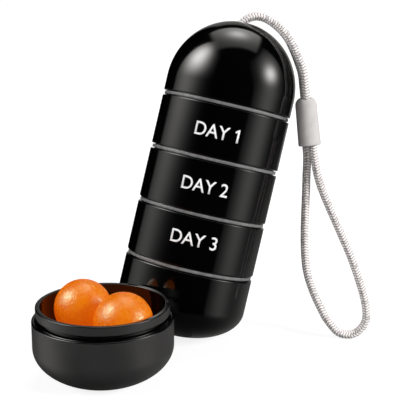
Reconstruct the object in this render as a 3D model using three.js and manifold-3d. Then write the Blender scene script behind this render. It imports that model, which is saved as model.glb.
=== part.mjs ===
// Pocket pill dispenser: a capsule of push-fit day containers under a domed lid, with a wrist lanyard
// and its slider, and a second bottom cup that stands open beside it with two pills in its bowl.
// Millimetres, +Z up. The origin lies on the standing surface, under the middle of the rigid pieces.
import * as THREE from "three";
import { mergeVertices } from "three/addons/utils/BufferGeometryUtils.js";
import Module from "manifold-3d";

const wasm = await Module();
wasm.setup();

// Walls and fits that every section shares
const outerRadius = 19;
const shellWall = 0.8;
const slipGap = 0.3;
const neckWall = 1.2;
const neckHeight = 3.8;
const rimChamfer = 0.25;
const neckRadius = outerRadius - shellWall - slipGap;
const boreRadius = neckRadius - neckWall;
const shellBore = outerRadius - shellWall;

// Day containers and the grooves between them
const sectionPitch = 15.9;
const grooveHeight = 1.5;
const floorThickness = 1.2;
const floorCorner = 3;
const plugDepth = 1.2;
const plugWall = 1.2;
const dayCount = 3;
const dayShellHeight = sectionPitch - grooveHeight;
const neckIntoShell = neckHeight - grooveHeight;
const seatHeight = neckIntoShell + slipGap;
const plugRadius = boreRadius - slipGap;
const plugBottom = seatHeight - plugDepth;

// Seal rings
const ringInset = 0.4;
const ringChamfer = 0.25;
const ringHeight = grooveHeight - slipGap - slipGap;
const ringBore = neckRadius + slipGap;
const ringRadius = outerRadius - ringInset;

// Round-bottomed cups: the base of the capsule and the open cup
const footRadius = 6.5;
const footWall = 1;
const bowlLift = 2.1;
const bottomDepth = 10.75;
const baseWallHeight = 10.05;
const openCupWallHeight = 7.5;
const baseBowlRise = 2.9;
const openCupBowlRise = 0.4;
const collarDepth = 2.5;
const equatorHeight = bottomDepth * Math.sqrt(1 - (footRadius / outerRadius) ** 2);

// Lid
const lidWallHeight = 4.55;
const domeRise = 19.7;
const domeWall = 1.2;
const cordHoleRadius = 3.3;
const cordHoleFlare = 0.4;
const ceilingRise = 9.5;
const linerTaper = 1.5;

// Lean of the capsule to the right and away from the front
const leanRight = THREE.MathUtils.degToRad(13.6);
const leanBack = THREE.MathUtils.degToRad(10.4);

// Place of the open cup: its bearing from the base, and its gap to the widest part of the base
const openCupBearing = THREE.MathUtils.degToRad(-122.56);
const openCupGap = 0.59;

// Pills in the open cup, one at the back left and one at the front right, with a little play in its bowl
const pillPlay = 0.9;
const pillRadius = (boreRadius - pillPlay) / 2;
const pillBearing = THREE.MathUtils.degToRad(-44.5);
const pillFacetSteps = 3;

// Knot inside the lid
const knotRadius = 4.4;
const knotFaceRadius = 4;
const knotHeight = 4.5;

// Cord slider, with a round bore under a cap that has a slot for the two strands
const sliderTopRadius = 3.1;
const sliderBottomRadius = 3.25;
const sliderLength = 13.9;
const sliderShoulder = 1.5;
const sliderShoulderHeight = 1.9;
const sliderFootEdge = 0.3;
const sliderCap = 1.6;
const sliderFromTop = 6;
const slotGap = 0.12;
const boreGap = 0.2;

// Lanyard cord, from the knot out over the dome, down through the slider, round the loop and back
const cordRadius = 1.2;
const cordSides = 8;
const cordSteps = 80;
const cordRoute = [
  [19.17, 22.67, 87.43], [19.59, 22.99, 89.16], [20.63, 23.34, 90.78], [22.17, 23.48, 92.32],
  [24.35, 23.32, 93.42], [27.12, 22.72, 93.47], [30.75, 21.19, 91.65], [34.26, 18.74, 88.28],
  [38.19, 14.55, 79.88], [38.77, 13.55, 77.24], [38.93, 13.34, 75.66], [39.63, 12.42, 68.75],
  [40.49, 11.98, 64.44], [41.28, 11.67, 60.1], [41.83, 10.96, 54.72], [43.5, 10.38, 46.93],
  [54.25, 7.83, 21.66], [57.81, 6.62, 9.24], [57.51, 6.34, 4.8], [54.58, 6.23, 1.68],
  [50.3, 6.38, 1.74], [47.17, 6.76, 4.77], [44.83, 7.3, 8.54], [40.31, 9.74, 20.42],
  [39.91, 12.49, 46.32], [39.97, 12.64, 54.31], [39.43, 13.36, 59.69], [39.34, 14.21, 64.02],
  [39.32, 14.92, 68.39], [38.62, 15.84, 75.29], [38.46, 16.05, 76.87], [37.99, 16.93, 79.02],
  [34.69, 20.97, 87.14], [31.43, 23.49, 90.82], [27.74, 25.15, 93.06], [24.73, 25.83, 93.31],
  [22.31, 26, 92.11], [20.65, 25.85, 90.38], [19.53, 25.44, 88.49], [19.16, 25.16, 86.97],
].map((place) => new THREE.Vector3(...place));

// The straight run of both strands through the slider, as the places of its ends in the route
const runStartIndex = 9;
const runEndIndex = 14;

// Smoothness of round shapes
const turnSegments = 32;
const shownArcSteps = 7;
const hiddenArcSteps = 4;
const smallArcSteps = 3;
const quarterTurn = Math.PI / 2;

// Finishes
const glossBlack = { color: 0x0b0b0c, roughness: 0.16, metalness: 0 };
const satinBlack = { color: 0x232224, roughness: 0.42, metalness: 0 };
const innerBlack = { color: 0x141315, roughness: 0.5, metalness: 0 };
const ringGrey = { color: 0x6f7072, roughness: 0.45, metalness: 0 };
const cordGrey = { color: 0xb7afa9, roughness: 0.9, metalness: 0 };
const sliderGrey = { color: 0xa6a19e, roughness: 0.6, metalness: 0 };
const pillOrange = { color: 0xf0741a, roughness: 0.4, metalness: 0 };

// A named mesh with its own material
function part(name, geometry, finish) {
  const mesh = new THREE.Mesh(geometry, new THREE.MeshStandardMaterial(finish));
  mesh.name = name;
  return mesh;
}

// A geometry with positions only and its shared corners joined
function joined(geometry) {
  geometry.deleteAttribute("normal");
  geometry.deleteAttribute("uv");
  return mergeVertices(geometry);
}

// A manifold solid of a joined geometry
function solid(geometry) {
  const vertProperties = new Float32Array(geometry.attributes.position.array);
  const triVerts = new Uint32Array(geometry.index.array);
  return new wasm.Manifold(new wasm.Mesh({ numProp: 3, vertProperties, triVerts }));
}

// What is left of one geometry when another is cut out of it
function cut(body, tool) {
  const mesh = solid(body).subtract(solid(tool)).getMesh();
  const geometry = new THREE.BufferGeometry();
  geometry.setAttribute("position", new THREE.BufferAttribute(mesh.vertProperties, 3));
  geometry.setIndex(new THREE.BufferAttribute(mesh.triVerts, 1));
  return geometry;
}

// A solid turned about Z from a profile of radius and height points, solid on the profile's left
function turned(profile) {
  const points = profile.map(([radius, height]) => new THREE.Vector2(radius, height));
  const geometry = new THREE.LatheGeometry(points, turnSegments);
  geometry.rotateX(quarterTurn);
  return joined(geometry);
}

// Points along an elliptical arc of a profile, from one angle to another
function arc(height, radiusAcross, radiusUp, from, to, steps, across = 0) {
  const curve = new THREE.EllipseCurve(across, height, radiusAcross, radiusUp, from, to, to < from);
  return curve.getPoints(steps).map((point) => [point.x, point.y]);
}

// The rim of a wall, from its outside over the top to its inside
function rim(outer, inner, top) {
  return [
    [outer, top - rimChamfer],
    [outer - rimChamfer, top],
    [inner + rimChamfer, top],
    [inner, top - rimChamfer],
  ];
}

// Outer sleeve of a day container, with all its edges chamfered
function dayShell() {
  return turned([
    [shellBore + rimChamfer, 0],
    [outerRadius - rimChamfer, 0],
    [outerRadius, rimChamfer],
    ...rim(outerRadius, shellBore, dayShellHeight),
    [shellBore, rimChamfer],
    [shellBore + rimChamfer, 0],
  ]);
}

// Inner cup of a day container: a plug ring that closes the section below, a floor and a neck
function dayLiner() {
  const floorTop = seatHeight + floorThickness;
  return turned([
    [0, seatHeight],
    [plugRadius - plugWall, seatHeight],
    [plugRadius - plugWall, plugBottom],
    [plugRadius, plugBottom],
    [plugRadius, seatHeight],
    [neckRadius, seatHeight],
    ...rim(neckRadius, boreRadius, dayShellHeight + neckHeight),
    ...arc(floorTop + floorCorner, floorCorner, floorCorner, 0, -quarterTurn, smallArcSteps,
      boreRadius - floorCorner),
    [0, floorTop],
  ]);
}

// Seal ring that fills the groove under a section, chamfered outside
function sealRing() {
  return turned([
    [ringBore, 0],
    [ringRadius - ringChamfer, 0],
    [ringRadius, ringChamfer],
    [ringRadius, ringHeight - ringChamfer],
    [ringRadius - ringChamfer, ringHeight],
    [ringBore, ringHeight],
    [ringBore, 0],
  ]);
}

// Round-bottomed outer cup with a flat foot
function cupShell(wallHeight) {
  const footAngle = -Math.acos(footRadius / outerRadius);
  return turned([
    [0, 0],
    ...arc(equatorHeight, outerRadius, bottomDepth, footAngle, 0, shownArcSteps),
    ...rim(outerRadius, shellBore, equatorHeight + wallHeight),
    ...arc(equatorHeight, shellBore, equatorHeight - footWall, 0, -quarterTurn, hiddenArcSteps),
  ]);
}

// Heights of a bowl over the cup's foot, and its depths down to its clearance over the shell's floor
function bowlSizes(wallHeight, bowlRise) {
  const neckTop = equatorHeight + wallHeight + neckHeight;
  const centre = neckTop - bowlRise;
  const outerDepth = centre - footWall - bowlLift;
  return { neckTop, centre, outerDepth, innerDepth: outerDepth - neckWall };
}

// Inner bowl of a round-bottomed cup, with a collar in the shell and the neck that a section pushes over
function cupLiner(wallHeight, bowlRise) {
  const bowl = bowlSizes(wallHeight, bowlRise);
  const collarBottom = equatorHeight + wallHeight - collarDepth;
  const collarAngle = Math.asin((bowl.centre - collarBottom) / bowl.outerDepth);
  return turned([
    ...arc(bowl.centre, neckRadius, bowl.outerDepth, -quarterTurn, -collarAngle, hiddenArcSteps),
    [neckRadius, collarBottom],
    ...rim(neckRadius, boreRadius, bowl.neckTop),
    ...arc(bowl.centre, boreRadius, bowl.innerDepth, 0, -quarterTurn, shownArcSteps),
  ]);
}

// Domed outer shell of the lid, with a flared cord hole at its top
function lidShell() {
  const domeBore = domeRise - domeWall;
  const mouth = cordHoleRadius + cordHoleFlare;
  const outerMouth = Math.acos(mouth / outerRadius);
  const innerMouth = Math.acos(mouth / shellBore);
  const mouthHeight = (domeRise * Math.sin(outerMouth) + domeBore * Math.sin(innerMouth)) / 2;
  return turned([
    [shellBore + rimChamfer, 0],
    [outerRadius - rimChamfer, 0],
    [outerRadius, rimChamfer],
    ...arc(lidWallHeight, outerRadius, domeRise, 0, outerMouth, shownArcSteps),
    [cordHoleRadius, lidWallHeight + mouthHeight],
    ...arc(lidWallHeight, shellBore, domeBore, innerMouth, 0, hiddenArcSteps),
    [shellBore, rimChamfer],
    [shellBore + rimChamfer, 0],
  ]);
}

// Inner cap of the lid: a plug ring for the neck below, a wall, and a ceiling under the knot
function lidLiner() {
  const wallTop = domeRise - domeWall - slipGap;
  const ceilingTop = Math.asin(ceilingRise / wallTop);
  const ceilingUnder = Math.asin((ceilingRise - floorThickness) / (wallTop - neckWall));
  return turned([
    [0, lidWallHeight + ceilingRise - floorThickness],
    ...arc(lidWallHeight, boreRadius, wallTop - neckWall, ceilingUnder, 0, smallArcSteps),
    [plugRadius - plugWall, lidWallHeight - linerTaper],
    [plugRadius - plugWall, plugBottom],
    [plugRadius, plugBottom],
    [plugRadius, seatHeight],
    [neckRadius, seatHeight],
    ...arc(lidWallHeight, neckRadius, wallTop, 0, ceilingTop, smallArcSteps),
    [0, lidWallHeight + ceilingRise],
  ]);
}

// Slider turned about Z from its flat foot, with the slot of two strands this far from the middle
function cordSlider(strandOffset) {
  const boreRadius = strandOffset + cordRadius + boreGap;
  const capBottom = sliderLength - sliderCap;
  const body = turned([
    [0, capBottom],
    [boreRadius, capBottom],
    [boreRadius, 0],
    ...arc(sliderFootEdge, sliderFootEdge, sliderFootEdge, -quarterTurn, 0, smallArcSteps,
      sliderBottomRadius - sliderFootEdge),
    ...arc(sliderLength - sliderShoulderHeight, sliderShoulder, sliderShoulderHeight, 0, quarterTurn,
      hiddenArcSteps, sliderTopRadius - sliderShoulder),
    [0, sliderLength],
  ]);
  const slotRadius = cordRadius + slotGap;
  const slot = new THREE.Shape();
  slot.absarc(strandOffset, 0, slotRadius, -quarterTurn, quarterTurn);
  slot.absarc(-strandOffset, 0, slotRadius, quarterTurn, quarterTurn + Math.PI);
  const tool = new THREE.ExtrudeGeometry(slot, {
    depth: sliderLength,
    bevelEnabled: false,
    curveSegments: hiddenArcSteps,
  });
  tool.translate(0, 0, sliderLength / 2);
  return cut(body, joined(tool));
}

// Unbroken round cord along its route
function lanyardCord() {
  const section = new THREE.Shape(new THREE.Path().absarc(0, 0, cordRadius, 0, 2 * Math.PI)
    .getSpacedPoints(cordSides).slice(0, cordSides));
  return joined(new THREE.ExtrudeGeometry(section, {
    steps: cordSteps,
    bevelEnabled: false,
    extrudePath: new THREE.CatmullRomCurve3(cordRoute, false, "centripetal"),
  }));
}

// Capsule: base, three day containers and lid along one leaning axis, all heights from the base's foot
const capsule = new THREE.Group();
const leanAxis = new THREE.Vector3(Math.tan(leanRight), Math.tan(leanBack), 1).normalize();
capsule.quaternion.setFromUnitVectors(new THREE.Vector3(0, 0, 1), leanAxis);
capsule.add(part("base_shell", cupShell(baseWallHeight), glossBlack));
capsule.add(part("base_liner", cupLiner(baseWallHeight, baseBowlRise), innerBlack));
const baseRim = equatorHeight + baseWallHeight;

// Adds a section's pieces with the seal ring under them
function addSection(ringNumber, bottom, pieces) {
  const ring = part(`seal_ring_${ringNumber}`, sealRing(), ringGrey);
  ring.position.z = bottom - grooveHeight + slipGap;
  capsule.add(ring);
  for (const piece of pieces) {
    piece.position.z = bottom;
    capsule.add(piece);
  }
}

// Day 3 stands on the base and day 1 carries the lid
for (let day = dayCount; day > 0; day -= 1) {
  const bottom = baseRim + grooveHeight + (dayCount - day) * sectionPitch;
  addSection(day + 1, bottom, [
    part(`day_${day}_shell`, dayShell(), glossBlack),
    part(`day_${day}_liner`, dayLiner(), innerBlack),
  ]);
}
const lidBottom = baseRim + grooveHeight + dayCount * sectionPitch;
addSection(1, lidBottom, [
  part("lid_shell", lidShell(), glossBlack),
  part("lid_liner", lidLiner(), innerBlack),
]);

// Knot in the chamber over the lid's ceiling, flat where the cord's ends meet it
const knotTurn = Math.acos(knotFaceRadius / knotRadius);
const knot = part("stopper_knot", turned([
  [0, 0],
  ...arc(knotHeight / 2, knotRadius, knotHeight / 2 / Math.sin(knotTurn), -knotTurn, knotTurn,
    smallArcSteps),
  [0, knotHeight],
]), cordGrey);
knot.position.z = lidBottom + lidWallHeight + ceilingRise + slipGap;
capsule.add(knot);

// Open cup beside the base, as far from its foot as its widest circle reaches that way, and the gap
const cupSide = new THREE.Vector3(Math.cos(openCupBearing), Math.sin(openCupBearing), 0);
const cupLean = leanAxis.dot(cupSide);
const baseReach = equatorHeight * cupLean + outerRadius * Math.sqrt(1 - cupLean ** 2);
const openCup = new THREE.Group();
openCup.position.copy(cupSide).multiplyScalar(baseReach + openCupGap + outerRadius);
openCup.add(part("open_cup_shell", cupShell(openCupWallHeight), satinBlack));
openCup.add(part("open_cup_liner", cupLiner(openCupWallHeight, openCupBowlRise), satinBlack));

// Two pills in its bowl, each clear of the other and of the bowl by the slip gap
const openBowl = bowlSizes(openCupWallHeight, openCupBowlRise);
const pillSpread = pillRadius + slipGap / 2;
const pillReach = boreRadius - pillRadius - slipGap;
const pillFall = openBowl.innerDepth - pillRadius - slipGap;
const pillHeight = openBowl.centre - pillFall * Math.sqrt(1 - (pillSpread / pillReach) ** 2);
for (const [name, side] of [["pill_left", -1], ["pill_right", 1]]) {
  const pill = part(name, joined(new THREE.IcosahedronGeometry(pillRadius, pillFacetSteps)), pillOrange);
  pill.position.set(Math.cos(pillBearing), Math.sin(pillBearing), 0).multiplyScalar(side * pillSpread);
  pill.position.z = pillHeight;
  openCup.add(pill);
}

// Both stand on the surface, and the origin goes under the middle of their box
capsule.position.z = -new THREE.Box3().setFromObject(capsule, true).min.z;
const standing = new THREE.Group();
standing.add(capsule, openCup);
const middle = new THREE.Box3().setFromObject(standing, true).getCenter(new THREE.Vector3());
standing.position.set(-middle.x, -middle.y, 0);

// Slider on the straight run, its slot turned to the strands where they enter it
const otherStart = cordRoute[cordRoute.length - 1 - runStartIndex];
const otherEnd = cordRoute[cordRoute.length - 1 - runEndIndex];
const runTop = cordRoute[runStartIndex].clone().add(otherStart).divideScalar(2);
const runBottom = cordRoute[runEndIndex].clone().add(otherEnd).divideScalar(2);
const sliderAxis = runTop.clone().sub(runBottom).normalize();
const strandOffset = cordRoute[runStartIndex].distanceTo(otherStart) / 2;
const strandSide = otherStart.clone().sub(cordRoute[runStartIndex]).projectOnPlane(sliderAxis).normalize();
const slider = part("cord_slider", cordSlider(strandOffset), sliderGrey);
const sliderDepth = sliderAxis.clone().cross(strandSide);
slider.quaternion.setFromRotationMatrix(
  new THREE.Matrix4().makeBasis(strandSide, sliderDepth, sliderAxis));
slider.position.copy(runTop).addScaledVector(sliderAxis, -sliderFromTop - sliderLength);

const dispenser = new THREE.Group();
dispenser.add(standing, slider, part("lanyard_cord", lanyardCord(), cordGrey));

export default dispenser;
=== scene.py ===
# %% [markdown]
# # Dressing a pocket pill dispenser for a product photograph
# The object is a black capsule made of push-fit sections, with a braided wrist lanyard, beside an
# open cup with two orange pills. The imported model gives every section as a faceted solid. Here each
# one gets a fine, smooth surface over the same profile, because polished plastic shows every facet
# in its reflections.

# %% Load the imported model
import math

import bmesh
import bpy
from mathutils import Matrix, Vector


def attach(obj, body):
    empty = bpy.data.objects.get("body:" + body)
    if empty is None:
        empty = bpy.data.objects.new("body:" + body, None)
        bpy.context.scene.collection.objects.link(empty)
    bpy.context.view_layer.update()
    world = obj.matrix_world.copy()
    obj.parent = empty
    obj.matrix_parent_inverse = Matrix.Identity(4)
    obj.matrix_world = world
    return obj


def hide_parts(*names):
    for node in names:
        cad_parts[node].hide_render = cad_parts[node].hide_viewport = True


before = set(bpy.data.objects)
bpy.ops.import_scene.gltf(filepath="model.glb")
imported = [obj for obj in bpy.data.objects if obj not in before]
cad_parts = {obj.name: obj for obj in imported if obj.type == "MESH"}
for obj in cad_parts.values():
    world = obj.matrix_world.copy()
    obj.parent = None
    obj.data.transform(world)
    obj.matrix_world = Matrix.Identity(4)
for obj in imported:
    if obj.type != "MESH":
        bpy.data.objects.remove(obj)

scene = bpy.context.scene
mm = 0.001
full_turn = 2 * math.pi
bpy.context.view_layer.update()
print("solids loaded:", len(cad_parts))

# %% [markdown]
# ## Camera
# A product photographer shoots small things from about 30 cm with a short telephoto lens, a little
# above the object, so that the cup's opening shows while the capsule keeps straight sides.

# %% Place the camera
camera_data = bpy.data.cameras.new("camera")
camera_data.lens = 96.8
camera_data.clip_start = 0.01
camera = bpy.data.objects.new("camera", camera_data)
scene.collection.objects.link(camera)
camera.location = (0.000889, -0.29313, 0.11737)
aim = Vector((0.0087, 0.008303, 0.0423))
camera.rotation_euler = (aim - camera.location).to_track_quat("-Z", "Y").to_euler()
scene.camera = camera
print("camera looks down", round(math.degrees(math.asin((camera.location - aim).normalized().z)), 1))

# %% [markdown]
# ## The lanyard's route
# One braided cord leaves a knot inside the lid, comes out of the hole in the dome, runs through the
# slider, hangs in a loop and comes back the same way. A cord is easiest to steer by a few dozen
# points. A centripetal Catmull-Rom curve goes through all of them without swinging out at bends.

# %% Route of the cord, in metres
route = [Vector(place) * mm for place in (
    (19.17, 22.67, 87.43), (19.59, 22.99, 89.16), (20.63, 23.34, 90.78), (22.17, 23.48, 92.32),
    (24.35, 23.32, 93.42), (27.12, 22.72, 93.47), (30.75, 21.19, 91.65), (34.26, 18.74, 88.28),
    (38.19, 14.55, 79.88), (38.77, 13.55, 77.24), (38.93, 13.34, 75.66), (39.63, 12.42, 68.75),
    (40.49, 11.98, 64.44), (41.28, 11.67, 60.1), (41.83, 10.96, 54.72), (43.5, 10.38, 46.93),
    (54.25, 7.83, 21.66), (57.81, 6.62, 9.24), (57.51, 6.34, 4.8), (54.58, 6.23, 1.68),
    (50.3, 6.38, 1.74), (47.17, 6.76, 4.77), (44.83, 7.3, 8.54), (40.31, 9.74, 20.42),
    (39.91, 12.49, 46.32), (39.97, 12.64, 54.31), (39.43, 13.36, 59.69), (39.34, 14.21, 64.02),
    (39.32, 14.92, 68.39), (38.62, 15.84, 75.29), (38.46, 16.05, 76.87), (37.99, 16.93, 79.02),
    (34.69, 20.97, 87.14), (31.43, 23.49, 90.82), (27.74, 25.15, 93.06), (24.73, 25.83, 93.31),
    (22.31, 26, 92.11), (20.65, 25.85, 90.38), (19.53, 25.44, 88.49), (19.16, 25.16, 86.97),
)]
cord_radius = 1.2 * mm
stitch_pitch = 0.8 * mm
rings_per_stitch = 5


def smooth_line(points, steps=24):
    """Closely spaced points of a centripetal Catmull-Rom curve through these points."""
    ends = [2 * points[0] - points[1], *points, 2 * points[-1] - points[-2]]
    line = []
    for before, start, end, after in zip(ends, ends[1:], ends[2:], ends[3:]):
        a, b, c = ((q - p).length ** 0.5 for p, q in ((before, start), (start, end), (end, after)))
        out = ((start - before) / a - (end - before) / (a + b) + (end - start) / b) * b
        into = ((end - start) / b - (after - start) / (b + c) + (after - end) / c) * b
        for step in range(steps):
            t = step / steps
            line.append((2 * t**3 - 3 * t**2 + 1) * start + (t**3 - 2 * t**2 + t) * out
                        + (3 * t**2 - 2 * t**3) * end + (t**3 - t**2) * into)
    return [*line, points[-1].copy()]


def evenly_spaced(line, spacing):
    """Points about this far apart along a line, with both of its ends."""
    lengths = [(q - p).length for p, q in zip(line, line[1:])]
    total = sum(lengths)
    count = max(2, round(total / spacing))
    spaced, piece, passed = [], 0, 0.0
    for index in range(count + 1):
        goal = total * index / count
        while piece < len(lengths) - 1 and passed + lengths[piece] < goal:
            passed += lengths[piece]
            piece += 1
        share = min(1.0, (goal - passed) / lengths[piece])
        spaced.append(line[piece].lerp(line[piece + 1], share))
    return spaced, total


centre_line, cord_length = evenly_spaced(smooth_line(route), stitch_pitch / rings_per_stitch)
print("cord", round(cord_length / mm, 1), "mm in", len(centre_line), "rings")

# %% [markdown]
# ## Braid in the mesh
# The lanyard is a tubular braid of thin yarns: half of them wind one way, half the other, so that
# rows of small V stitches run along the cord. Tubes for single yarns would cost millions of faces.
# Here one tube is fine enough to carry the stitches as relief: every point is moved in where yarns
# dive under each other, and along the lines where the hollow braid lies folded.

# %% Tube with stitches
braid_columns = 8
around = 6 * braid_columns
column_border, border_height = 0.08, 0.5

# The folds: half width, place of the clear one and distance to the faint ones in radians round the
# cord, then how deep a faint one is, and the fold's share of the relief and of the painted shade
fold_width, fold_bearing, faint_fold_angle = 0.15, 0.36, 0.8
faint_fold, fold_relief, fold_shade = 0.3, 0.4, 0.8


def stitch(turn, ring):
    """How high a yarn stands at a place on the braid, from 0 to 1, and which yarn it is."""
    column = math.floor(turn * braid_columns)
    way = 1 if column % 2 == 0 else -1
    across = turn * braid_columns - column
    along = way * turn * braid_columns / 2 + ring / rings_per_stitch
    crown = abs(math.sin(math.pi * along))
    dive = math.sin(math.pi * min(max(across, column_border), 1 - column_border))
    yarn = math.floor(along) * way * 7 + column * 31
    return crown * (border_height + (1 - border_height) * dive), yarn


def fleck(yarn):
    """A number from 0 to 1 for a yarn, which jumps about from one yarn to the next."""
    return (math.sin(yarn * 12.9898) * 43758.5453) % 1


def fold(angle, deepest):
    """How deep a fold runs at this angle round the cord: one clear line and a faint one on each side."""
    off = (angle - deepest + math.pi) % full_turn - math.pi
    clear = math.exp(-((off / fold_width) ** 2))
    faint = math.exp(-(((abs(off) - faint_fold_angle) / fold_width) ** 2))
    return clear + faint_fold * faint


def braided_tube(name, line, radius, relief):
    """A closed tube whose surface is braided, with attributes for the painted shade in its gaps and folds
    and the tone of a yarn.
    """
    facing = Vector((0, -1, 0))
    points, painted_shades, flecks = [], [], []
    rings = len(line)
    for ring, place in enumerate(line):
        ahead = (line[min(ring + 1, rings - 1)] - line[max(ring - 1, 0)]).normalized()
        front = (facing - facing.dot(ahead) * ahead).normalized()
        side = ahead.cross(front)
        # Seen from the front, the clear fold lies left of the middle on both strands
        deepest = -fold_bearing if ring / (rings - 1) > 0.5 else fold_bearing
        for step in range(around):
            turn = (step + 0.5) / around
            angle = full_turn * turn
            height, yarn = stitch(turn, ring)
            depth = fold(angle, deepest)
            reach = radius - relief * (1 - height) - fold_relief * relief * depth
            points.append(place + (front * math.cos(angle) + side * math.sin(angle)) * reach)
            # Painted shade: the colour is darkened between the yarns and along the folds
            painted_shades.append(height * (1 - fold_shade * depth))
            flecks.append(fleck(yarn))
    faces = [
        (ring * around + step, ring * around + (step + 1) % around,
         (ring + 1) * around + (step + 1) % around, (ring + 1) * around + step)
        for ring in range(rings - 1) for step in range(around)
    ]
    faces += [tuple(reversed(range(around))), tuple(range((rings - 1) * around, rings * around))]
    mesh = bpy.data.meshes.new(name)
    mesh.from_pydata(points, [], faces)
    for label, values in (("painted_braid_shade", painted_shades), ("yarn_shade", flecks)):
        mesh.attributes.new(label, "FLOAT", "POINT").data.foreach_set("value", values)
    mesh.shade_smooth()
    piece = bpy.data.objects.new(name, mesh)
    scene.collection.objects.link(piece)
    return piece


yarn_bulge, yarn_relief = 0.02 * mm, 0.08 * mm
cord = braided_tube("braided_cord", centre_line, cord_radius + yarn_bulge, yarn_relief)
print("cord faces", len(cord.data.polygons))

# %% [markdown]
# ## Turned shapes
# Every section is a body of revolution, so one helper serves them all: a few points of the profile
# become edges, and the spin operator turns them about the axis. Where an edge is sharp on the
# profile it gets a tiny rounding, as every moulded edge has, and two support points keep the
# smooth shading of the long walls flat.

# %% Profile helpers
round_segments = 144
support_gap, long_stretch = 0.06, 0.72
weld_distance = 0.002 * mm
hardly_bent, reach_share, no_length = math.radians(80), 0.45, 1e-6


def arc(height, across, up, start, end, steps, offset=0.0):
    """Points along an elliptical arc of a profile, angles in degrees from the outside upwards."""
    angles = [math.radians(start + (end - start) * step / steps) for step in range(steps + 1)]
    return [(offset + across * math.cos(a), height + up * math.sin(a)) for a in angles]


def rounded(points, radius, steps=4):
    """A closed profile whose sharp corners become arcs of this radius, or of a point's own third value."""
    made = []
    for index, point in enumerate(points):
        corner = Vector(point[:2])
        size = point[2] if len(point) > 2 else radius
        before = Vector(points[index - 1][:2])
        after = Vector(points[(index + 1) % len(points)][:2])
        back, ahead = before - corner, after - corner
        if not size or back.length < no_length or ahead.length < no_length:
            made.append(tuple(corner))
            continue
        half = back.angle(ahead) / 2
        if half > hardly_bent:
            made.append(tuple(corner))
            continue
        reach = min(size / math.tan(half), reach_share * back.length, reach_share * ahead.length)
        size = reach * math.tan(half)
        towards = (back.normalized() + ahead.normalized()).normalized()
        centre = corner + towards * (size / math.sin(half))
        first = (corner + back.normalized() * reach - centre).normalized()
        last = (corner + ahead.normalized() * reach - centre).normalized()
        made += [tuple(centre + size * first.slerp(last, step / steps)) for step in range(steps + 1)]
    return made


def supported(points, closed):
    """The profile with a support point near both ends of each long straight stretch."""
    made = []
    stretches = zip(points, points[1:] + points[:1]) if closed else zip(points, points[1:])
    for start, end in stretches:
        first, last = Vector(start), Vector(end)
        made.append(tuple(first))
        if (last - first).length > long_stretch:
            step = (last - first).normalized() * support_gap
            made += [tuple(first + step), tuple(last - step)]
    return made if closed else [*made, points[-1]]


def turned(name, profile, place, closed=True):
    """A smooth body of revolution from a profile of radius and height in millimetres."""
    bm = bmesh.new()
    verts = [bm.verts.new((radius * mm, 0, height * mm)) for radius, height in supported(profile, closed)]
    edges = [bm.edges.new(pair) for pair in zip(verts, verts[1:])]
    if closed:
        edges.append(bm.edges.new((verts[-1], verts[0])))
    bmesh.ops.spin(bm, geom=verts + edges, cent=(0, 0, 0), axis=(0, 0, 1), angle=full_turn,
                   steps=round_segments, use_merge=True)
    bmesh.ops.remove_doubles(bm, verts=bm.verts, dist=weld_distance)
    bmesh.ops.recalc_face_normals(bm, faces=bm.faces)
    bmesh.ops.transform(bm, matrix=place, verts=bm.verts)
    mesh = bpy.data.meshes.new(name)
    bm.to_mesh(mesh)
    bm.free()
    mesh.shade_smooth()
    piece = bpy.data.objects.new(name, mesh)
    scene.collection.objects.link(piece)
    print(name, len(mesh.polygons), "faces")
    return piece


# %% [markdown]
# ## Where the sections stand
# All capsule sections share one leaning axis from the base's foot. The open cup stands upright in
# front of it. A matrix for each makes the pieces in place, so that no object has to be moved.

# %% Places and shared sizes, in millimetres
base_foot = Vector((0.889, 8.303, 1.998)) * mm
lean_axis = Vector((0.23149, 0.17561, 0.95686)).normalized()
lean = Vector((0, 0, 1)).rotation_difference(lean_axis).to_matrix().to_4x4()
open_cup_foot = Vector((-18.011, -21.297, 0)) * mm
upright = Matrix.Translation(open_cup_foot)


def on_capsule(height):
    """Place of a section whose bottom is this high on the leaning axis."""
    return Matrix.Translation(base_foot + lean_axis * height * mm) @ lean


# Radii of the shell's outside and inside, the neck's outside and inside, and the plug
outer, shell_bore, neck, bore, plug = 19.0, 18.2, 17.9, 16.7, 16.4
slip = 0.3
wall, floor_thickness, plug_depth = 1.2, 1.2, 1.2

# Heights of a round bottom's widest circle, a neck, one section, its groove, and a plug's shoulder
equator, neck_height, pitch, groove, seat = 10.101, 3.8, 15.9, 1.5, 2.6
base_wall, open_wall = 10.05, 7.5
lowest_section = equator + base_wall + groove
section_heights = {
    name: lowest_section + step * pitch for step, name in enumerate(("day_3", "day_2", "day_1", "lid"))
}
print("sections stand at", {name: round(height, 2) for name, height in section_heights.items()}, "mm")

# Roundings of a section's outer edges and of its inner ones
edge, inner_edge = 0.22, 0.12

# %% [markdown]
# ## Day containers
# A day container is a glossy sleeve pressed over an inner cup. The cup's neck carries the next
# section, and a thin plug ring under its floor closes the compartment below. Cylinders could be
# hollowed out with Booleans, but a spun profile keeps clean rings of faces, which mirror the
# softboxes without dents. Corner points and a small radius are enough for both parts.

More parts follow.
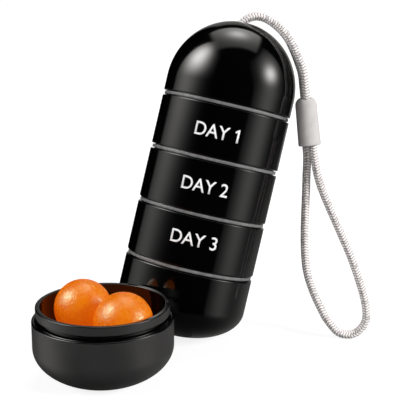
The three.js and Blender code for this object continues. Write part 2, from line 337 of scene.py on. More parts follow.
# %% Sleeves and inner cups of the three days
sleeve_height = pitch - groove
sleeve_profile = rounded([
    (shell_bore, 0, inner_edge), (outer, 0), (outer, sleeve_height),
    (shell_bore, sleeve_height, inner_edge),
], edge)
floor_top = seat + floor_thickness
neck_top = sleeve_height + neck_height
plug_bore, plug_end = plug - wall, seat - plug_depth
lip_edge, floor_corner = 0.3, 3
liner_profile = rounded([
    (0, seat, 0), (plug_bore, seat, 0.2), (plug_bore, plug_end), (plug, plug_end), (plug, seat, 0.1),
    (neck, seat), (neck, neck_top, lip_edge), (bore, neck_top, lip_edge),
    (bore, floor_top, floor_corner), (0, floor_top, 0),
], 0.15, steps=6)
sections = {}
for day, height in list(section_heights.items())[:3]:
    sections[day] = [
        turned(f"{day}_sleeve", sleeve_profile, on_capsule(height)),
        turned(f"{day}_inner_cup", liner_profile, on_capsule(height), closed=False),
    ]

# %% [markdown]
# ## Seal rings
# A soft grey ring lies in each groove. It stops short of the glossy walls, so a dark line shows
# above and below it. A torus would catch the light like a wire. This ring has a flat face, so its
# profile is a small rectangle with rounded edges, turned like the rest.

# %% Rings
ring_bore, ring_outer, ring_edge = neck + slip, 18.6, 0.18
ring_height = groove - 2 * slip
ring_profile = rounded([
    (ring_bore, 0), (ring_outer, 0), (ring_outer, ring_height), (ring_bore, ring_height),
], ring_edge)
rings = {
    number: turned(f"grey_seal_{number}", ring_profile,
                   on_capsule(section_heights[above] - groove + slip))
    for number, above in ((4, "day_3"), (3, "day_2"), (2, "day_1"), (1, "lid"))
}

# %% [markdown]
# ## Lid
# The lid's dome is half an ellipse, a little taller than a ball. Its top has a flared hole for the
# cord. Inside, a cap closes the chamber of the knot. A hole cut into a scaled sphere would leave a
# thin, sharp lip. Here the lip is a part of the profile, and rolls from the outside to the inside.

# %% Dome and its inner cap
lid_wall, dome_rise, dome_wall, hole, mouth = 4.55, 19.7, 1.2, 3.3, 3.7
outer_mouth = math.degrees(math.acos(mouth / outer))
inner_mouth = math.degrees(math.acos(mouth / shell_bore))
skirt = rounded([
    (shell_bore, lid_wall, 0), (shell_bore, 0, inner_edge), (outer, 0), (outer, lid_wall, 0),
], edge)[1:-1]

# The hole's lip rolls over from the dome's outside to its inside
lip_across, lip_up, lip_middle = 0.62, 0.6, 18.72
lip = [
    (hole + lip_across * (1 - math.sin(math.radians(turn))),
     lid_wall + lip_middle + lip_up * math.cos(math.radians(turn)))
    for turn in (15, 35, 55, 75, 90, 110, 130, 150)
]
dome_profile = [
    *skirt,
    *arc(lid_wall, outer, dome_rise, 0, outer_mouth - 1, 40),
    *lip,
    *arc(lid_wall, shell_bore, dome_rise - dome_wall, inner_mouth - 1, 0, 32),
]
dome = turned("lid_dome", dome_profile, on_capsule(section_heights["lid"]))

cap_rise, cap_top, cap_taper = 18.2, 9.5, 1.5
ceiling = cap_top - floor_thickness
ceiling_rise = cap_rise - wall
cap_profile = [
    (0, lid_wall + ceiling),
    *arc(lid_wall, bore, ceiling_rise, math.degrees(math.asin(ceiling / ceiling_rise)), 0, 12),
    (plug_bore, lid_wall - cap_taper), (plug_bore, plug_end), (plug, plug_end), (plug, seat), (neck, seat),
    *arc(lid_wall, neck, cap_rise, 0, math.degrees(math.asin(cap_top / cap_rise)), 12),
    (0, lid_wall + cap_top),
]
cap = turned("lid_inner_cap", cap_profile, on_capsule(section_heights["lid"]), closed=False)
sections["lid"] = [dome, cap]

# %% [markdown]
# ## Round-bottomed cups
# The base of the capsule and the open cup are one design in two depths: an elliptical bottom with a
# small flat foot, a straight wall, and an inner bowl whose neck stands above the rim of the shell.
# The open cup's neck has a narrow recess at its root, which shows as a black line above the rim.
# Two functions draw the profiles from the height of the rim, so that a change reaches both cups.

# %% Base and open cup
foot_radius, foot_edge, bottom_depth, foot_wall = 6.5, 0.5, 10.75, 1.0
beside_foot = (foot_radius + 1.5, 0.42)
bowl_lift, collar, rim_edge = 2.1, 2.5, 0.28
recess_root, recess_top, recess_slope = 0.4, 1.3, 0.1


def bottom_shell(top):
    """Profile of a round-bottomed shell up to the height of its rim."""
    foot_angle = -math.degrees(math.acos(foot_radius / outer))
    foot = rounded([(0, 0), (foot_radius, 0, foot_edge), beside_foot], 0)[1:-1]
    rim = rounded([
        (outer, equator, 0), (outer, top), (shell_bore, top), (shell_bore, equator, 0),
    ], rim_edge)[1:-1]
    return [
        (0, 0),
        *foot,
        *arc(equator, outer, bottom_depth, foot_angle + 2, 0, 30),
        *rim,
        *arc(equator, shell_bore, equator - foot_wall, 0, -90, 20),
    ]


def inner_bowl(top, bowl_rise, recess):
    """Profile of a bowl in a shell with this rim height, with a recess this deep at its neck's root."""
    bowl_top = top + neck_height
    middle = bowl_top - bowl_rise
    depth = middle - foot_wall - bowl_lift
    low = top - collar
    ledge = -math.degrees(math.asin((middle - low) / depth))
    waist = neck - recess
    root = [
        (neck, top - recess_root), (waist, top - recess_root + recess_slope),
        (waist, top + recess_top - recess_slope), (neck, top + recess_top),
    ]
    wall_line = rounded([
        (neck - 1, low, 0), (neck, low, 0.2), *(root if recess else []), (neck, bowl_top),
        (bore, bowl_top), (bore, middle, 0),
    ], edge)[1:-1]
    return [
        *arc(middle, neck, depth, -90, ledge, 24),
        *wall_line,
        *arc(middle, bore, depth - wall, 0, -90, 36),
    ]


def cup(name, wall_height, bowl_rise, place, recess=0.0):
    """Outer shell and inner bowl of a cup, as two pieces."""
    top = equator + wall_height
    return [
        turned(f"{name}_outside", bottom_shell(top), place, closed=False),
        turned(f"{name}_bowl", inner_bowl(top, bowl_rise, recess), place, closed=False),
    ]


sections["base"] = cup("base", base_wall, 2.9, on_capsule(0))
open_cup = cup("open_cup", open_wall, 0.4, upright, recess=0.5)

# %% [markdown]
# ## Pills
# Two coated pills lie in the open cup. Real coating is never a perfect ball, so a fine icosphere
# gets slow dents and finer waves before it is put in place. A UV sphere would crowd its faces at
# two poles, and an icosphere has none.

# %% Two pills
pill_radius = 7.9
mean_dent, slow_dent, fine_dent = 0.004, 0.002, 0.0012
pill_places = {"pill_left": (-23.753, -15.655, 18.27), "pill_right": (-12.269, -26.939, 18.27)}


def dents(direction, seed):
    """Share of the radius that the coating stands in at a direction, from slow and fine waves."""
    x, y, z = direction
    slow = math.sin(3.1 * x + seed) * math.sin(2.7 * y - seed) + math.sin(3.7 * z + 2 * seed)
    fine = math.sin(17 * x + 5 * seed) * math.sin(19 * y + seed) * math.sin(16 * z - seed)
    return mean_dent + slow_dent * slow + fine_dent * fine


def coated_pill(name, centre, seed):
    """A round pill with a slightly uneven coating."""
    bm = bmesh.new()
    bmesh.ops.create_icosphere(bm, subdivisions=6, radius=1)
    for vert in bm.verts:
        vert.co *= pill_radius * mm * (1 - max(0.0, dents(vert.co.normalized(), seed)))
    bmesh.ops.translate(bm, vec=Vector(centre) * mm, verts=bm.verts)
    mesh = bpy.data.meshes.new(name)
    bm.to_mesh(mesh)
    bm.free()
    mesh.shade_smooth()
    piece = bpy.data.objects.new(name, mesh)
    scene.collection.objects.link(piece)
    return piece


pill_seeds = (1.3, 4.1)
pills = {node: coated_pill(f"orange_{node}", place, seed)
         for (node, place), seed in zip(pill_places.items(), pill_seeds)}
print("pill faces", len(pills["pill_left"].data.polygons))

# %% [markdown]
# ## Slider
# A soft grey bead with a rounded top holds the two strands together. It is turned like the
# sections, and a Boolean with a two-strand slot opens its cap where the cord goes in, because a
# spin cannot make a slot that is not round.

# %% Slider on the straight run of the cord
# Both ends of the straight run, as places in the route from its start and from its end
run_top = (route[9] + route[-10]) / 2
run_bottom = (route[14] + route[-15]) / 2
slider_axis = (run_top - run_bottom).normalized()
strand_gap = route[-10] - route[9]
strand_offset = strand_gap.length / 2
strand_side = (strand_gap - strand_gap.dot(slider_axis) * slider_axis).normalized()
slider_basis = Matrix((strand_side, slider_axis.cross(strand_side), slider_axis)).transposed().to_4x4()

slider_length, slider_from_top, strand_room = 13.9, 6, 1.4
slider_foot = run_top - slider_axis * (slider_from_top + slider_length) * mm
slider_place = Matrix.Translation(slider_foot) @ slider_basis
bead_bore = strand_offset / mm + strand_room
bead_cap, bore_edge, foot_edge_round = 1.6, 0.15, 0.35
bottom_radius, top_radius = 3.25, 3.1
shoulder_across, shoulder_up = 1.9, 2.2
cap_under = slider_length - bead_cap
slider_profile = [
    (0, cap_under), (bead_bore, cap_under), (bead_bore, bore_edge), (bead_bore + bore_edge, 0),
    *arc(foot_edge_round, foot_edge_round, foot_edge_round, -90, 0, 6, bottom_radius - foot_edge_round),
    *arc(slider_length - shoulder_up, shoulder_across, shoulder_up, 0, 90, 14,
         top_radius - shoulder_across),
    (0, slider_length),
]
slider = turned("grey_slider", slider_profile, slider_place, closed=False)
slot_radius, slot_from, slot_length = 1.32 * mm, 7 * mm, 9 * mm


def strand_slot(place):
    """A prism with round ends that two strands side by side fit through."""
    bm = bmesh.new()
    made = bmesh.ops.create_circle(bm, cap_ends=True, cap_tris=False, segments=48, radius=slot_radius)
    for vert in made["verts"]:
        vert.co.x += math.copysign(strand_offset, vert.co.x)
    top = bmesh.ops.extrude_face_region(bm, geom=list(bm.faces))["geom"]
    top_verts = [v for v in top if isinstance(v, bmesh.types.BMVert)]
    bmesh.ops.translate(bm, vec=(0, 0, slot_length), verts=top_verts)
    bmesh.ops.recalc_face_normals(bm, faces=bm.faces)
    bmesh.ops.translate(bm, vec=(0, 0, slot_from), verts=bm.verts)
    bmesh.ops.transform(bm, matrix=place, verts=bm.verts)
    mesh = bpy.data.meshes.new("strand_slot")
    bm.to_mesh(mesh)
    bm.free()
    return bpy.data.objects.new("strand_slot", mesh)


slot_tool = strand_slot(slider_place)
scene.collection.objects.link(slot_tool)
slotting = slider.modifiers.new("slot", "BOOLEAN")
slotting.operation, slotting.object, slotting.solver = "DIFFERENCE", slot_tool, "EXACT"
bpy.context.view_layer.update()
slotted = bpy.data.meshes.new_from_object(slider.evaluated_get(bpy.context.evaluated_depsgraph_get()))
slider.modifiers.clear()
slider.data = slotted
bpy.data.objects.remove(slot_tool)
slotted.shade_smooth()
slotted.set_sharp_from_angle(angle=math.radians(50))
print("slider faces", len(slider.data.polygons))

# %% [markdown]
# ## Day names
# The names are printed on the sleeves in white. Text starts as a flat curve. It becomes a mesh, is
# sliced into narrow strips, and only then rolled onto the cylinder, so that no letter cuts through
# the plastic. The letters start a hair under the surface, so no gap shows behind them.

# %% Roll lettering onto a sleeve
camera_way = camera.location - base_foot
camera_side = (camera_way - camera_way.dot(lean_axis) * lean_axis).normalized()
right_side = lean_axis.cross(camera_side)
letter_height, ink, sunk = 3.75, 0.03, 0.01
text_weld = 1e-5
strips = 28

# In the font's own units: how far the strokes grow, and the flag that the figure 1 lacks
stroke_growth = 0.008
flag_left, flag_down, flag_long, flag_thick = 0.155, 0.115, 0.22, 0.085
flag_slope = math.radians(38)


def flat_text(name, words):
    """A flat mesh of these words, in the font's own units."""
    curve = bpy.data.curves.new(name, "FONT")
    curve.body = words
    curve.align_x, curve.align_y = "CENTER", "BOTTOM_BASELINE"
    curve.offset = stroke_growth
    curve.resolution_u = 6
    flat = bpy.data.objects.new(name, curve)
    scene.collection.objects.link(flat)
    bpy.context.view_layer.update()
    mesh = bpy.data.meshes.new_from_object(flat.evaluated_get(bpy.context.evaluated_depsgraph_get()))
    bpy.data.objects.remove(flat)
    return mesh


def add_flag(bm, corner):
    """Gives the figure 1 that ends at this top right corner its slanting flag."""
    flag = bmesh.ops.create_grid(bm, x_segments=1, y_segments=1, size=0.5)["verts"]
    place = Matrix.Translation((corner.x - flag_left, corner.y - flag_down, 0))
    turn = Matrix.Rotation(flag_slope, 4, "Z")
    bmesh.ops.transform(bm, verts=flag, matrix=place @ turn @ Matrix.Diagonal((flag_long, flag_thick, 1, 1)))


def printed_name(name, words, height, bearing, width):
    """Raised white lettering centred at a height on the axis and a bearing in degrees from the camera."""
    bm = bmesh.new()
    bm.from_mesh(flat_text(name, words))
    bmesh.ops.remove_doubles(bm, verts=bm.verts, dist=text_weld)
    low = Vector([min(v.co[axis] for v in bm.verts) for axis in range(3)])
    high = Vector([max(v.co[axis] for v in bm.verts) for axis in range(3)])
    if words.endswith("1"):
        add_flag(bm, high)
    size = high - low
    for vert in bm.verts:
        vert.co = Vector(((vert.co.x - low.x) / size.x - 0.5, (vert.co.y - low.y) / size.y - 0.5, 0))
        vert.co.x *= width
        vert.co.y *= letter_height
    for strip in range(1, strips):
        bmesh.ops.bisect_plane(bm, geom=bm.verts[:] + bm.edges[:] + bm.faces[:], dist=text_weld,
                               plane_co=(width * (strip / strips - 0.5), 0, 0), plane_no=(1, 0, 0))
    bmesh.ops.recalc_face_normals(bm, faces=bm.faces)
    top = bmesh.ops.extrude_face_region(bm, geom=bm.faces[:])["geom"]
    for vert in [v for v in top if isinstance(v, bmesh.types.BMVert)]:
        vert.co.z = ink
    for vert in bm.verts:
        angle = vert.co.x / outer + math.radians(bearing)
        reach = (outer - sunk + vert.co.z) * mm
        vert.co = (base_foot + lean_axis * (height + vert.co.y) * mm
                   + (camera_side * math.cos(angle) + right_side * math.sin(angle)) * reach)
    bmesh.ops.recalc_face_normals(bm, faces=bm.faces)
    made = bpy.data.meshes.new(name)
    bm.to_mesh(made)
    bm.free()
    piece = bpy.data.objects.new(name, made)
    scene.collection.objects.link(piece)
    print(name, len(made.polygons), "faces")
    return piece


names = {
    "day_1": printed_name("day_1_lettering", "DAY 1", height=60.5, bearing=-2.7, width=12.7),
    "day_2": printed_name("day_2_lettering", "DAY 2", height=45.0, bearing=-2.3, width=13.4),
    "day_3": printed_name("day_3_lettering", "DAY 3", height=29.8, bearing=-1.1, width=13.4),
}

# %% [markdown]
# ## Finishes
# Each finish is a Principled shader whose plain values sit on its own sockets. Fine noise in object
# space then varies the colour, the roughness and the bump a little, because even new plastic has
# flow marks, dust and soft scratches.

# %% Material helpers


def finish_base(name, colour, roughness, specular=0.5):
    """A new material with its plain values set, its node tree and its Principled shader."""
    material = bpy.data.materials.new(name)
    material.use_nodes = True
    tree = material.node_tree
    shader = tree.nodes["Principled BSDF"]
    shader.inputs["Base Color"].default_value = (*colour, 1)
    shader.inputs["Roughness"].default_value = roughness
    shader.inputs["Specular IOR Level"].default_value = specular
    return material, tree, shader


def add(tree, kind, **values):
    """A node of this kind, with its named sockets and settings filled in."""
    node = tree.nodes.new(kind)
    for key, value in values.items():
        if hasattr(node, key):
            setattr(node, key, value)
        else:
            node.inputs[key.replace("_", " ").title()].default_value = value
    return node


def noise(tree, scale, detail, roughness=0.55):
    """The value of noise in object space, whose scale is in cells per metre."""
    place = add(tree, "ShaderNodeTexCoord")
    node = add(tree, "ShaderNodeTexNoise", Scale=scale, Detail=detail, Roughness=roughness)
    tree.links.new(place.outputs["Object"], node.inputs["Vector"])
    return node.outputs["Fac"]


def ramp(tree, source, low, high, start, end):
    """A colour that goes from low to high as a socket goes from start to end."""
    node = tree.nodes.new("ShaderNodeValToRGB")
    first, last = node.color_ramp.elements
    first.position, first.color = start, (*low, 1)
    last.position, last.color = end, (*high, 1)
    tree.links.new(source, node.inputs["Fac"])
    return node.outputs["Color"]


def multiplied(tree, first, second):
    """One colour times another."""
    node = tree.nodes.new("ShaderNodeMix")
    node.data_type, node.blend_type = "RGBA", "MULTIPLY"
    node.inputs["Factor"].default_value = 1.0
    tree.links.new(first, node.inputs["A"])
    tree.links.new(second, node.inputs["B"])
    return node.outputs["Result"]


def grey(value):
    """The same value for red, green and blue."""
    return (value, value, value)


def bump(tree, shader, source, depth_mm):
    """Bump from a socket, whose full range is this deep in millimetres."""
    node = add(tree, "ShaderNodeBump", Strength=1.0, Distance=depth_mm * mm)
    tree.links.new(source, node.inputs["Height"])
    tree.links.new(node.outputs["Normal"], shader.inputs["Normal"])
    return node


# %% [markdown]
# ### Polished and satin black plastic
# The capsule is injection-moulded and polished: nearly black, with clear but slightly soft
# reflections. The open cup is the same plastic with a satin skin, which spreads each lamp wide, and
# the inner cups lie between the two. One function makes all three, so that they stay one family.

# %% Black plastics
moulding_wave_mm = 0.004


def black_plastic(name, colour, smooth, rough, grain_mm):
    """Black plastic whose roughness flows between two values, with slow waves under a fine grain."""
    material, tree, shader = finish_base(name, colour, smooth)
    gloss = ramp(tree, noise(tree, scale=140, detail=2), grey(smooth), grey(rough), 0.35, 0.7)
    tree.links.new(gloss, shader.inputs["Roughness"])
    paler = tuple(value * 1.6 for value in colour)
    drift = ramp(tree, noise(tree, scale=60, detail=4), colour, paler, 0.3, 0.8)
    tree.links.new(drift, shader.inputs["Base Color"])
    wave = bump(tree, shader, noise(tree, scale=190, detail=1), moulding_wave_mm)
    grain = bump(tree, shader, noise(tree, scale=5200, detail=2), grain_mm)
    tree.links.new(wave.outputs["Normal"], grain.inputs["Normal"])
    return material


polished_black = black_plastic("polished_black", (0.0007, 0.0007, 0.0008),
                               smooth=0.07, rough=0.11, grain_mm=0.0004)
satin_black = black_plastic("satin_black", (0.021, 0.0202, 0.02), smooth=0.36, rough=0.42, grain_mm=0.001)
inner_black = black_plastic("inner_black", (0.003, 0.0028, 0.0028), smooth=0.16, rough=0.22, grain_mm=0.001)
print("finishes", [made.name for made in (polished_black, satin_black, inner_black)])

# %% [markdown]
# ### Grey seals, white print, slider
# The seals are smooth rubber with a faint mottle. The print is matt ink. The slider is soft-touch
# rubber with fine grain. A colour that drifts between two close tones and a fine bump are enough
# for each of them.

# %% Plain finishes


def mottled(name, dark, light, roughness, scale, grain_scale, grain_mm, specular=0.4):
    """A matt finish whose colour drifts between two tones, with fine grain."""
    material, tree, shader = finish_base(name, light, roughness, specular)
    drift = ramp(tree, noise(tree, scale, detail=4), dark, light, 0.35, 0.65)
    tree.links.new(drift, shader.inputs["Base Color"])
    bump(tree, shader, noise(tree, grain_scale, detail=3), grain_mm)
    return material


seal_grey = mottled("seal_grey", grey(0.13), grey(0.2),
                    roughness=0.38, scale=700, grain_scale=3000, grain_mm=0.004, specular=0.5)
white_ink = mottled("white_ink", grey(0.82), grey(0.9),
                    roughness=0.5, scale=900, grain_scale=6000, grain_mm=0.002)
slider_grey = mottled("slider_grey", (0.54, 0.518, 0.505), (0.6, 0.578, 0.565),
                      roughness=0.6, scale=420, grain_scale=2600, grain_mm=0.01)
print("finishes", [made.name for made in (seal_grey, white_ink, slider_grey)])

# %% [markdown]
# ### Braided cord
# The braid's own attributes carry its look: painted shade darkens the deep places between the yarns
# and in the folds, and about a third of the stitches are greyer than the rest, which gives the cord its
# flecks. An image wrapped round the tube would stretch at the bends, but these values belong to its points.

# %% Cord finish
cord_finish, tree, shader = finish_base("braid_grey", (0.4, 0.37, 0.35), 0.85, 0.2)
painted_braid_shade = add(tree, "ShaderNodeAttribute", attribute_name="painted_braid_shade")
yarn_shade = add(tree, "ShaderNodeAttribute", attribute_name="yarn_shade")
# Painted shade: low places of the braid and its folds get a dark colour
deep = ramp(tree, painted_braid_shade.outputs["Fac"], (0.05, 0.043, 0.04), (0.95, 0.895, 0.875), 0.06, 0.48)
flecked = ramp(tree, yarn_shade.outputs["Fac"], grey(0.62), grey(1.0), 0.0, 0.35)
tree.links.new(multiplied(tree, deep, flecked), shader.inputs["Base Color"])
bump(tree, shader, noise(tree, scale=9000, detail=2), depth_mm=0.02)
shader.inputs["Sheen Weight"].default_value = 0.25
shader.inputs["Sheen Roughness"].default_value = 0.5
print("finish", cord_finish.name, "with", len(tree.nodes), "nodes")

# %% [markdown]
# ### Orange coating
# The pills' coating is mottled: lighter, yellower clouds over a deep orange, and fine dark specks.
# Small patches of more and of less gloss break up its highlights, which are tinted to stay creamy.
# The top of each pill is duller, so that the pale light above does not wash it out, and the coating
# carries a painted glow, a little emission that lifts its shaded parts and keeps the orange deep and even.

# %% Pill finish
pill_orange, tree, shader = finish_base("orange_coating", (0.3, 0.13, 0.002), 0.3)
deep_orange, cloud_orange = (0.27, 0.095, 0.001), (0.325, 0.155, 0.003)
clouds = ramp(tree, noise(tree, scale=300, detail=5, roughness=0.6), deep_orange, cloud_orange, 0.3, 0.72)
specks = ramp(tree, noise(tree, scale=2600, detail=2), grey(0.7), grey(1.0), 0.24, 0.34)
tree.links.new(multiplied(tree, clouds, specks), shader.inputs["Base Color"])
patches = ramp(tree, noise(tree, scale=1300, detail=3), grey(0.18), grey(0.42), 0.42, 0.58)
tree.links.new(patches, shader.inputs["Roughness"])
bump(tree, shader, noise(tree, scale=1500, detail=4), depth_mm=0.13)
spot_height = add(tree, "ShaderNodeSeparateXYZ")
tree.links.new(add(tree, "ShaderNodeTexCoord").outputs["Object"], spot_height.inputs[0])
dull_from, dull_to = 23.3 * mm, 24.7 * mm
dull_top = ramp(tree, spot_height.outputs["Z"], grey(1.0), grey(0.12), dull_from, dull_to)
tree.links.new(dull_top, shader.inputs["Specular IOR Level"])
shader.inputs["Specular Tint"].default_value = (0.42, 1.0, 0.72, 1)
shader.inputs["Subsurface Weight"].default_value = 0.6
shader.inputs["Subsurface Radius"].default_value = (1.0, 0.3, 0.1)
shader.inputs["Subsurface Scale"].default_value = 4 * mm
# Painted light: a weak orange emission lifts the shaded parts of the pills
shader.inputs["Emission Color"].default_value = (1.0, 0.126, 0.002, 1)
shader.inputs["Emission Strength"].default_value = 0.52
print("finish", pill_orange.name, "with", len(tree.nodes), "nodes")

# %% [markdown]
# ## Put every piece on its body
# The lid, the days and the rings come apart, so each piece rides on the body that it belongs to,
# and stands in for the faceted solid of the same part. The open cup is satin outside, but its rims,
# its recess and the inside of its bowl are polished. A second material on these faces does that
# without cutting the mesh in two.

# %% Dress the pieces


def dress(piece, finish, body, slot, *nodes):
    """Gives a piece its finish, its body and the solids that it stands for. The slot is not used."""
    piece.data.materials.clear()
    piece.data.materials.append(finish)
    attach(piece, body)
    if nodes:
        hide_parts(*nodes)


def finish_part(piece, finish, place, belongs):
    """Gives a second finish to the faces whose radius and height in millimetres pass a test."""
    piece.data.materials.append(finish)
    back = place.inverted()
    for face in piece.data.polygons:
        spot = (back @ face.center) / mm
        if belongs(math.hypot(spot.x, spot.y), spot.z):
            face.material_index = 1


for body, (outside, inside) in sections.items():
    dress(outside, polished_black, body, "gloss_black", f"{body}_shell")
    dress(inside, inner_black, body, "inner_black", f"{body}_liner")
for number, ring in rings.items():
    dress(ring, seal_grey, "lid" if number == 1 else f"ring_{number}", "ring_grey", f"seal_ring_{number}")
for piece, node in zip(open_cup, ("open_cup_shell", "open_cup_liner")):
    dress(piece, satin_black, "open_cup", "satin_black", node)
open_rim = equator + open_wall
rim_band, lip_band, inside_margin = 0.26, 0.2, 0.05
rim_from, lip_from = open_rim - rim_band, open_rim + neck_height - lip_band
finish_part(open_cup[0], polished_black, upright, lambda radius, height: height > rim_from)
finish_part(open_cup[1], polished_black, upright,
            lambda radius, height: radius < neck - inside_margin or height > lip_from)
polished_faces = [sum(face.material_index for face in piece.data.polygons) for piece in open_cup]
print("polished faces of the open cup", polished_faces)
for body, piece in names.items():
    dress(piece, white_ink, body, "gloss_black")
for node, body in (("pill_left", "left_pill"), ("pill_right", "right_pill")):
    dress(pills[node], pill_orange, body, "pill_orange", node)
dress(slider, slider_grey, "slider", "slider_grey", "cord_slider")
dress(cord, cord_finish, "lid", "cord_grey", "lanyard_cord")
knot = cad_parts["stopper_knot"]
knot.data.materials.clear()
knot.data.materials.append(cord_finish)

# %% [markdown]
# ## Studio
# Polished black plastic shows no colour of its own, only what stands round it. The lamps light the
# matt pieces at a plain level. Reflections see a studio painted on the world by direction: a tall
# softbox on the left, a lower one on the right, one above and behind, a pale backdrop behind the
# object and darkness behind the camera. The camera sees plain white, and everything else that the
# world lights gets a slightly warm tint.

# %% World
world = bpy.data.worlds.new("studio")
scene.world = world
world.use_nodes = True
world.cycles.sampling_method = "NONE"
tree = world.node_tree
tree.nodes.clear()


def maths(operation, first, second=None):
    """The result of a Math node in the present tree, from numbers or sockets."""
    node = tree.nodes.new("ShaderNodeMath")
    node.operation = operation
    for socket, value in zip(node.inputs, (first, second)):
        if isinstance(value, (int, float)):
            socket.default_value = value
        elif value is not None:
            tree.links.new(value, socket)
    return node.outputs[0]


def fade(value, start, end, low=0.0, high=1.0):
    """A smooth step in the present tree, from low to high as the value goes from start to end."""
    node = tree.nodes.new("ShaderNodeMapRange")
    node.interpolation_type = "SMOOTHSTEP"
    tree.links.new(value, node.inputs["Value"])
    if start > end:
        start, end, low, high = end, start, high, low
    for label, number in (("From Min", start), ("From Max", end), ("To Min", low), ("To Max", high)):
        node.inputs[label].default_value = number
    return node.outputs["Result"]


# In degrees: bearing from the camera's side towards the right, behind from the far side towards the
# right, and rise over the horizon
direction = tree.nodes.new("ShaderNodeSeparateXYZ")
tree.links.new(tree.nodes.new("ShaderNodeTexCoord").outputs["Generated"], direction.inputs[0])
side_x, depth_y, up_z = direction.outputs
bearing = maths("DEGREES", maths("ARCTAN2", side_x, maths("MULTIPLY", depth_y, -1.0)))
rise = maths("DEGREES", maths("ARCSINE", up_z))
behind = maths("DEGREES", maths("ARCTAN2", side_x, depth_y))

# Place on a plane overhead, in heights of that plane
above = maths("MAXIMUM", up_z, 0.05)
over_x, over_y = maths("DIVIDE", side_x, above), maths("DIVIDE", depth_y, above)


def within(value, low, high, soft):
    """One between low and high, with soft edges of this half width, and zero outside."""
    return maths("MULTIPLY", fade(value, low - soft, low + soft), fade(value, high + soft, high - soft))


def hot_spot(across, upwards, middle, height, wide, tall, power):
    """A round glow of this radiance that fades away from its middle, as a lamp's does on its cloth."""
    first = maths("POWER", maths("DIVIDE", maths("SUBTRACT", across, middle), wide), 2.0)
    second = maths("POWER", maths("DIVIDE", maths("SUBTRACT", upwards, height), tall), 2.0)
    return maths("MULTIPLY", maths("EXPONENT", maths("MULTIPLY", maths("ADD", first, second), -0.5)), power)


def total(*parts):
    """The sum of several sockets or numbers."""
    result = parts[0]
    for part in parts[1:]:
        result = maths("ADD", result, part)
    return result


def lit(cloth, across, upwards, spots, *plain):
    """The light of a cloth: plain light, if any, and its hot spots.

    A spot is its middle across and upwards, its spread across and upwards, and its radiance.
    """
    glows = [hot_spot(across, upwards, *spot) for spot in spots]
    return maths("MULTIPLY", cloth, total(*plain, *glows))


# Edges and spots of each cloth, in degrees at the sides and in heights of the plane overhead
cloth_edge = 3
left_cloth = maths("MULTIPLY", within(bearing, -121, -36, cloth_edge), fade(rise, 77, 56))
left_box = lit(left_cloth, bearing, rise, [
    (-90, 45, 16.5, 12.5, 19.0), (-99, 22, 14, 15, 1.3), (-92, -20, 22, 15, 1.3),
])
right_cloth = maths("MULTIPLY", within(bearing, 38, 108, cloth_edge), fade(rise, 54, 45))
right_box = lit(right_cloth, bearing, rise, [
    (77, 19.5, 8.6, 6.8, 15.5), (68, -3, 14, 13, 1.7), (81, 29, 16, 10.5, 2.2),
])
top_edge = 0.07
top_cloth = maths("MULTIPLY", within(over_x, -0.4, 0.73, top_edge), within(over_y, -0.16, 0.88, top_edge))
top_box = lit(maths("MULTIPLY", top_cloth, fade(up_z, 0.3, 0.4)), over_x, over_y, [
    (0.15, 0.39, 0.14, 0.14, 6.4), (0.24, 0.7, 0.4, 0.5, 2.8),
], 0.4)
table_glow = lit(fade(rise, -12, -26), bearing, rise, [(125, -32, 42, 22, 0.26)], 0.06)
backdrop = maths("MULTIPLY", within(behind, -8, 33, cloth_edge), within(rise, -16, 34, 4))
back_glow = maths("MULTIPLY", backdrop, 0.4)
all_glow, ambient = 0.8, 0.04
glow = maths("MULTIPLY", total(left_box, right_box, top_box, table_glow, back_glow), all_glow)

ray = tree.nodes.new("ShaderNodeLightPath")
mirrored = maths("MAXIMUM", ray.outputs["Is Glossy Ray"], ray.outputs["Is Transmission Ray"])
studio = maths("ADD", maths("MULTIPLY", mirrored, glow),
               maths("MULTIPLY", maths("SUBTRACT", 1.0, mirrored), ambient))
seen = ray.outputs["Is Camera Ray"]
strength = maths("ADD", seen, maths("MULTIPLY", maths("SUBTRACT", 1.0, seen), studio))
background = tree.nodes.new("ShaderNodeBackground")
warm_white, plain_white = (1.0, 0.985, 0.96, 1), (1, 1, 1, 1)
tint = tree.nodes.new("ShaderNodeMix")
tint.data_type = "RGBA"
tree.links.new(seen, tint.inputs["Factor"])
tint.inputs["A"].default_value, tint.inputs["B"].default_value = warm_white, plain_white
tree.links.new(tint.outputs["Result"], background.inputs["Color"])
tree.links.new(strength, background.inputs["Strength"])
tree.links.new(background.outputs[0], tree.nodes.new("ShaderNodeOutputWorld").inputs["Surface"])
print("world nodes", len(tree.nodes))

# %% [markdown]
# ### Lamps and floor
# Three area lamps stand near the places where the softboxes are reflected, and a weak one fills in
# from the front. They are kept out of reflections, which the world already shows. The floor glows
# white by itself, a little less close to the object, so that the soft shadow shows there.

# %% Lamps
aim_point = Vector((0.005, 0, 0.045))


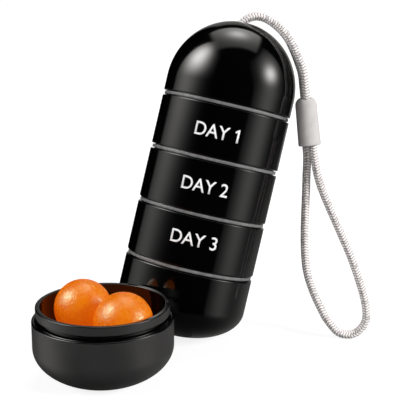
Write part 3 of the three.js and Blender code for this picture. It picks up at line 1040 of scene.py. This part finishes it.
def lamp(name, bearing_deg, rise_deg, distance, size, watts):
    """A square area lamp at a bearing and a rise, aimed at the middle of the object."""
    data = bpy.data.lights.new(name, "AREA")
    data.shape, data.size, data.energy = "SQUARE", size, watts
    lamp_object = bpy.data.objects.new(name, data)
    scene.collection.objects.link(lamp_object)
    a, e = math.radians(bearing_deg), math.radians(rise_deg)
    out = Vector((math.sin(a) * math.cos(e), -math.cos(a) * math.cos(e), math.sin(e)))
    lamp_object.location = aim_point + out * distance
    lamp_object.rotation_euler = out.to_track_quat("Z", "Y").to_euler()
    lamp_object.visible_glossy = False
    lamp_object.visible_camera = False


lamp("left_softbox", -70, 25, distance=0.8, size=0.35, watts=4.2)
lamp("right_softbox", 60, 22, distance=0.8, size=0.3, watts=6.8)
lamp("top_softbox", 158, 66, distance=0.8, size=0.5, watts=1.6)
lamp("front_fill", -5, 18, distance=0.9, size=0.6, watts=1.2)

# %% Floor
floor_radius = 6
near_floor, far_floor, near_white = 0.1, 0.5, 0.82
bm = bmesh.new()
bmesh.ops.create_circle(bm, cap_ends=True, segments=96, radius=floor_radius)
floor_mesh = bpy.data.meshes.new("floor")
bm.to_mesh(floor_mesh)
bm.free()
floor = bpy.data.objects.new("floor", floor_mesh)
scene.collection.objects.link(floor)
floor.visible_glossy = False

# The world's helpers add to the floor's own nodes from here on
floor_finish, tree, shader = finish_base("floor_white", grey(0.35), 0.9, 0.0)
shader.inputs["Emission Color"].default_value = (1, 1, 1, 1)
ray = tree.nodes.new("ShaderNodeLightPath")
mirrored = maths("MAXIMUM", ray.outputs["Is Glossy Ray"], ray.outputs["Is Transmission Ray"])
shown = maths("MAXIMUM", ray.outputs["Is Camera Ray"], mirrored)
distance = add(tree, "ShaderNodeVectorMath", operation="LENGTH")
tree.links.new(add(tree, "ShaderNodeTexCoord").outputs["Object"], distance.inputs[0])
white = fade(distance.outputs["Value"], near_floor, far_floor, near_white, 1.0)
tree.links.new(maths("MULTIPLY", shown, white), shader.inputs["Emission Strength"])
floor_mesh.materials.append(floor_finish)
print("floor radius", floor_radius, "m")

# %% [markdown]
# ## Colour management
# The Standard view keeps colours as they are written.

# %% Finish
scene.view_settings.view_transform = "Standard"
bpy.context.view_layer.update()
